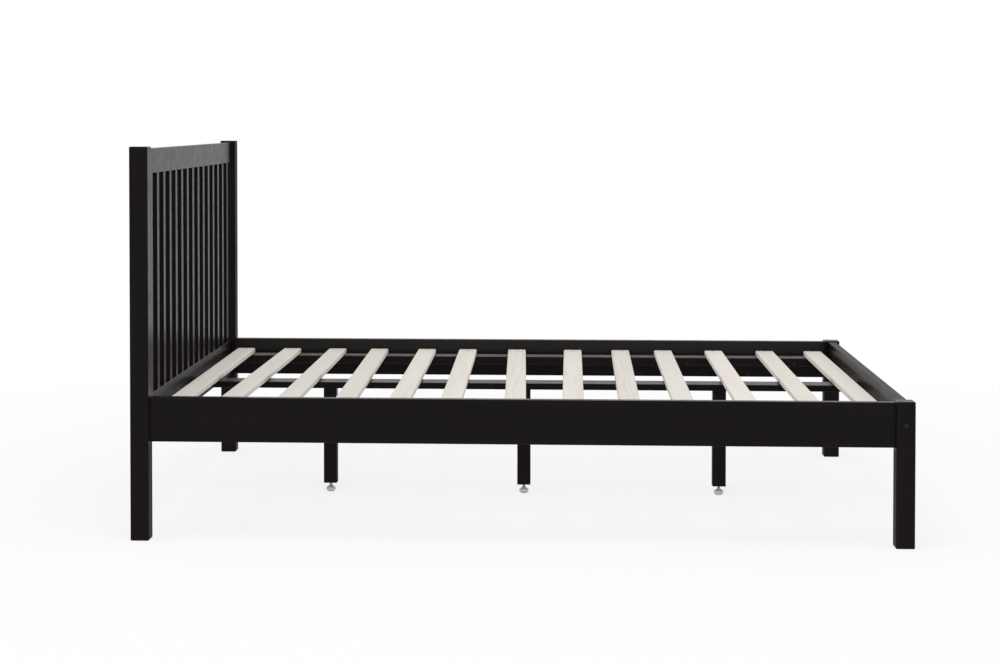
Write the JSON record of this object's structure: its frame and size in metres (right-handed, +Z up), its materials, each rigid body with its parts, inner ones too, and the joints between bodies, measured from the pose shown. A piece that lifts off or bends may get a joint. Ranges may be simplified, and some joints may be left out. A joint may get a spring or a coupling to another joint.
{
  "type": "bed frame",
  "caption": "Slatted wooden bed frame with a spindle headboard, low foot rail, centre beam on legs and screw levelling feet.",
  "frame": {"origin": "on the floor, at the middle of the footprint of the posts", "axes": "+X along the bed from headboard to foot, +Y across the bed, +Z up"},
  "size_m": [2, 1.43, 1.015],
  "materials": {
    "black_lacquer": "satin",
    "slat_wood": "matte",
    "dowel_wood": "matte",
    "zinc_steel": "satin",
    "black_steel": "satin",
    "grey_plastic": "matte",
    "black_plastic": "satin"
  },
  "bodies": {
    "bed": {"barrel_nuts": "black_steel", "beam_bracket_foot": "black_steel", "beam_bracket_head": "black_steel", "bed_bolts": "black_steel", "bolt_caps": "black_plastic", "bracket_screws": "black_steel", "centre_beam": "black_lacquer", "centre_leg_foot": "black_lacquer", "centre_leg_head": "black_lacquer", "centre_leg_middle": "black_lacquer", "foot_post_left": "black_lacquer", "foot_post_right": "black_lacquer", "foot_rail": "black_lacquer", "headboard_lower_rail": "black_lacquer", "headboard_post_left": "black_lacquer", "headboard_post_right": "black_lacquer", "headboard_spindle_01": "black_lacquer", "headboard_spindle_02": "black_lacquer", "headboard_spindle_03": "black_lacquer", "headboard_spindle_04": "black_lacquer", "headboard_spindle_05": "black_lacquer", "headboard_spindle_06": "black_lacquer", "headboard_spindle_07": "black_lacquer", "headboard_spindle_08": "black_lacquer", "headboard_spindle_09": "black_lacquer", "headboard_spindle_10": "black_lacquer", "headboard_spindle_11": "black_lacquer", "headboard_spindle_12": "black_lacquer", "headboard_spindle_13": "black_lacquer", "headboard_spindle_14": "black_lacquer", "headboard_spindle_15": "black_lacquer", "headboard_top_rail": "black_lacquer", "ledger_screws": "black_steel", "leg_inserts": "zinc_steel", "leg_screws": "black_steel", "rail_dowels": "dowel_wood", "side_rail_left": "black_lacquer", "side_rail_right": "black_lacquer", "slat_01": "slat_wood", "slat_02": "slat_wood", "slat_03": "slat_wood", "slat_04": "slat_wood", "slat_05": "slat_wood", "slat_06": "slat_wood", "slat_07": "slat_wood", "slat_08": "slat_wood", "slat_09": "slat_wood", "slat_10": "slat_wood", "slat_11": "slat_wood", "slat_12": "slat_wood", "slat_13": "slat_wood", "slat_ledger_left": "black_lacquer", "slat_ledger_right": "black_lacquer", "slat_screws": "zinc_steel"},
    "foot_pad_head": {"levelling_pad_head": "grey_plastic"},
    "foot_stud_head": {"levelling_stud_head": "zinc_steel"},
    "foot_pad_middle": {"levelling_pad_middle": "grey_plastic"},
    "foot_stud_middle": {"levelling_stud_middle": "zinc_steel"},
    "foot_pad_foot": {"levelling_pad_foot": "grey_plastic"},
    "foot_stud_foot": {"levelling_stud_foot": "zinc_steel"}
  },
  "joints": [
    {"name": "foot_height_head", "type": "slide", "parent": "bed", "child": "foot_pad_head", "axis": [0, 0, 1], "range_m": [-0.01, 0.006]},
    {"name": "foot_turn_head", "type": "hinge", "parent": "foot_pad_head", "child": "foot_stud_head", "pos_m": [-0.563, 0, 0.03], "axis": [0, 0, 1], "range_deg": [-2881, 1729]},
    {"name": "foot_height_middle", "type": "slide", "parent": "bed", "child": "foot_pad_middle", "axis": [0, 0, 1], "range_m": [-0.01, 0.006]},
    {"name": "foot_turn_middle", "type": "hinge", "parent": "foot_pad_middle", "child": "foot_stud_middle", "pos_m": [0, 0, 0.03], "axis": [0, 0, 1], "range_deg": [-2881, 1729]},
    {"name": "foot_height_foot", "type": "slide", "parent": "bed", "child": "foot_pad_foot", "axis": [0, 0, 1], "range_m": [-0.01, 0.006]},
    {"name": "foot_turn_foot", "type": "hinge", "parent": "foot_pad_foot", "child": "foot_stud_foot", "pos_m": [0.563, 0, 0.03], "axis": [0, 0, 1], "range_deg": [-2881, 1729]}
  ],
  "couplings": [
    {"joint": "foot_turn_head", "follows": "foot_height_head", "rad_per_m": 5026.5},
    {"joint": "foot_turn_middle", "follows": "foot_height_middle", "rad_per_m": 5026.5},
    {"joint": "foot_turn_foot", "follows": "foot_height_foot", "rad_per_m": 5026.5}
  ]
}
